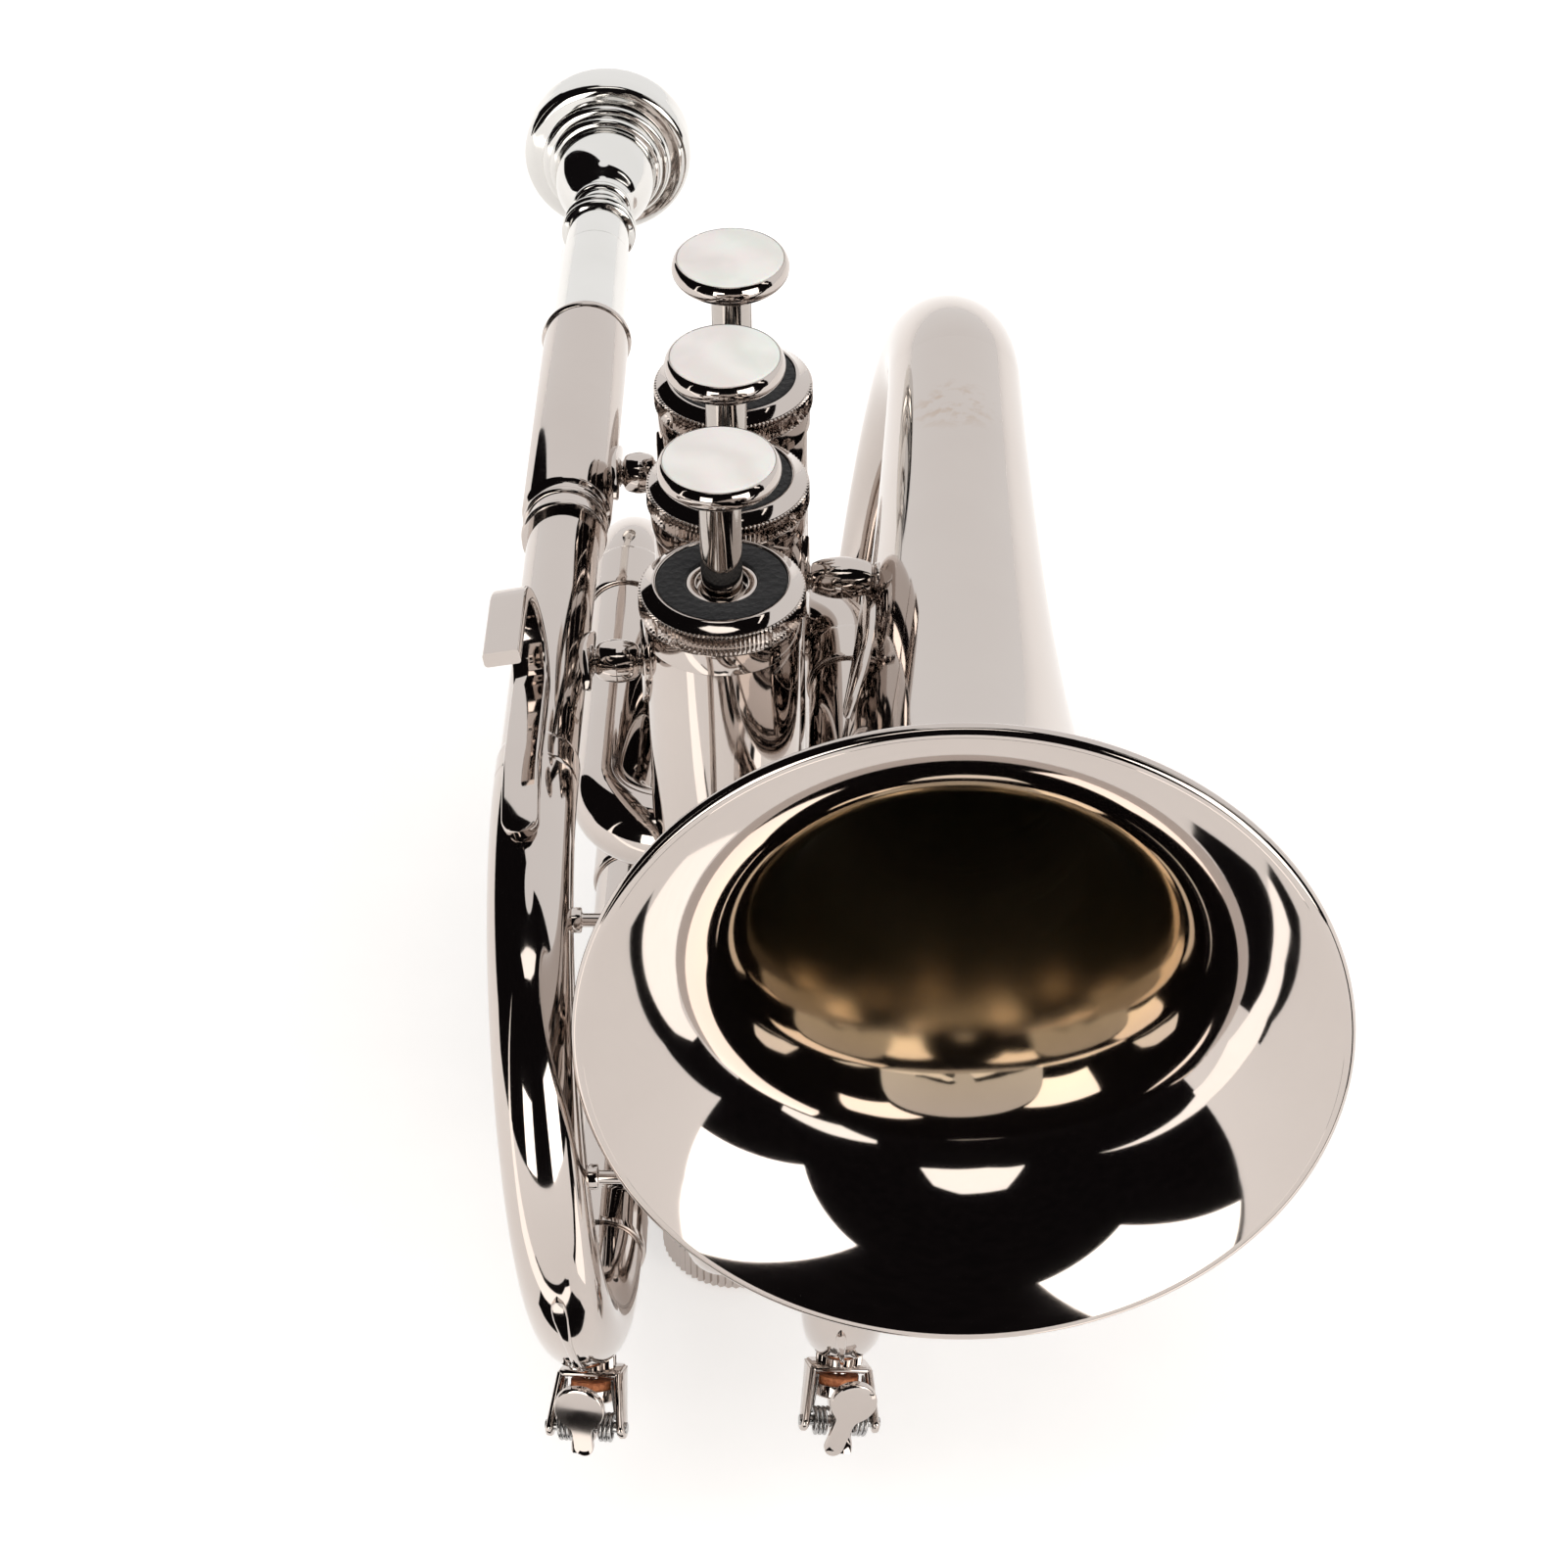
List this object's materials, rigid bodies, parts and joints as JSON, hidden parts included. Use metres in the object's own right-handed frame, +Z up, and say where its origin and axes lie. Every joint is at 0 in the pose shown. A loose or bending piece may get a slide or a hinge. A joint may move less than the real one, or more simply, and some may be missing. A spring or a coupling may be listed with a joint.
{
  "type": "flugelhorn",
  "caption": "Compact flugelhorn with a wide bell, coiled tubing, piston valves with pearl buttons, valve slides, water keys and a cup mouthpiece.",
  "frame": {"origin": "middle of the second valve's bottom cap, on its lower face", "axes": "+Z up along the valves, -Y towards the bell's mouth, +Y towards the mouthpiece, +X to the player's left, where the bell is"},
  "size_m": [0.1216, 0.2391, 0.1596],
  "materials": {
    "nickel_plate": "warm bright nickel plate",
    "silver_plate": "polished silver plate",
    "nickel_alloy": "lapped nickel alloy",
    "spring_steel": "drawn wire",
    "pearl": "polished mother of pearl",
    "felt": "pressed felt",
    "cork": "pressed cork"
  },
  "bodies": {
    "horn": {"bell": "nickel_plate", "bell_bow": "nickel_plate", "bell_ferrule": "nickel_plate", "lower_leg": "nickel_plate", "right_front_bow": "nickel_plate", "outlet_tube": "nickel_plate", "outlet_elbow": "nickel_plate", "right_ferrules": "nickel_plate", "bell_stays": "nickel_plate", "receiver_sleeve": "nickel_plate", "leadpipe": "nickel_plate", "finger_hook": "nickel_plate", "left_front_bow": "nickel_plate", "left_low_tube": "nickel_plate", "left_rear_bow": "nickel_plate", "inlet_tube": "nickel_plate", "inlet_elbow": "nickel_plate", "left_ferrules": "nickel_plate", "casing_1": "nickel_plate", "casing_2": "nickel_plate", "casing_3": "nickel_plate", "top_caps": "nickel_plate", "bottom_caps": "nickel_plate", "cap_felts": "felt", "knuckles": "nickel_plate", "valve_spring_1": "spring_steel", "valve_spring_2": "spring_steel", "valve_spring_3": "spring_steel", "slide_legs_1": "nickel_plate", "slide_legs_2": "nickel_plate", "slide_legs_3": "nickel_plate", "left_braces": "nickel_plate", "right_brace": "nickel_plate", "left_key_bracket": "nickel_plate", "left_key_pin": "spring_steel", "left_key_springs": "spring_steel", "right_key_bracket": "nickel_plate", "right_key_pin": "spring_steel", "right_key_springs": "spring_steel"},
    "valve_1": {"piston_1": "nickel_alloy", "stem_1": "nickel_alloy", "button_1": "nickel_plate", "pearl_1": "pearl"},
    "slide_1": {"valve_slide_1": "nickel_plate"},
    "valve_2": {"piston_2": "nickel_alloy", "stem_2": "nickel_alloy", "button_2": "nickel_plate", "pearl_2": "pearl"},
    "slide_2": {"valve_slide_2": "nickel_plate"},
    "valve_3": {"piston_3": "nickel_alloy", "stem_3": "nickel_alloy", "button_3": "nickel_plate", "pearl_3": "pearl"},
    "slide_3": {"valve_slide_3": "nickel_plate"},
    "tuning_slide": {"mouthpiece_receiver": "silver_plate"},
    "mouthpiece": {"mouthpiece": "silver_plate"},
    "left_water_key": {"left_key_lever": "nickel_plate", "left_key_cork": "cork"},
    "right_water_key": {"right_key_lever": "nickel_plate", "right_key_cork": "cork"}
  },
  "joints": [
    {"name": "valve_1_press", "type": "slide", "parent": "horn", "child": "valve_1", "axis": [0, 0, -1], "range_m": [0, 0.0155], "stiffness_N_per_m": 130, "springref_m": -0.014, "deforming": ["valve_spring_1"]},
    {"name": "valve_2_press", "type": "slide", "parent": "horn", "child": "valve_2", "axis": [0, 0, -1], "range_m": [0, 0.0155], "stiffness_N_per_m": 130, "springref_m": -0.014, "deforming": ["valve_spring_2"]},
    {"name": "valve_3_press", "type": "slide", "parent": "horn", "child": "valve_3", "axis": [0, 0, -1], "range_m": [0, 0.0155], "stiffness_N_per_m": 130, "springref_m": -0.014, "deforming": ["valve_spring_3"]},
    {"name": "slide_1_pull", "type": "slide", "parent": "horn", "child": "slide_1", "axis": [0, 1, 0], "range_m": [0, 0.02]},
    {"name": "slide_2_pull", "type": "slide", "parent": "horn", "child": "slide_2", "axis": [1, 0, 0], "range_m": [0, 0.008]},
    {"name": "slide_3_pull", "type": "slide", "parent": "horn", "child": "slide_3", "axis": [0, -1, 0], "range_m": [0, 0.016]},
    {"name": "tuning_slide_pull", "type": "slide", "parent": "horn", "child": "tuning_slide", "axis": [0, 0.9978, -0.0664], "range_m": [0, 0.025]},
    {"name": "mouthpiece_pull", "type": "slide", "parent": "tuning_slide", "child": "mouthpiece", "axis": [0, 0.9978, -0.0664], "range_m": [0, 0.03]},
    {"name": "left_water_key_hinge", "type": "hinge", "parent": "horn", "child": "left_water_key", "pos_m": [-0.01891, -0.0909, 0.02865], "axis": [-0.9848, 0.1411, -0.1016], "range_deg": [0, 10], "stiffness_Nm_per_rad": 0.02, "springref_deg": -28.65},
    {"name": "right_water_key_hinge", "type": "hinge", "parent": "horn", "child": "right_water_key", "pos_m": [0.01654, -0.081, 0.01954], "axis": [-0.9744, -0.1349, 0.1797], "range_deg": [0, 8], "stiffness_Nm_per_rad": 0.02, "springref_deg": -28.65}
  ]
}
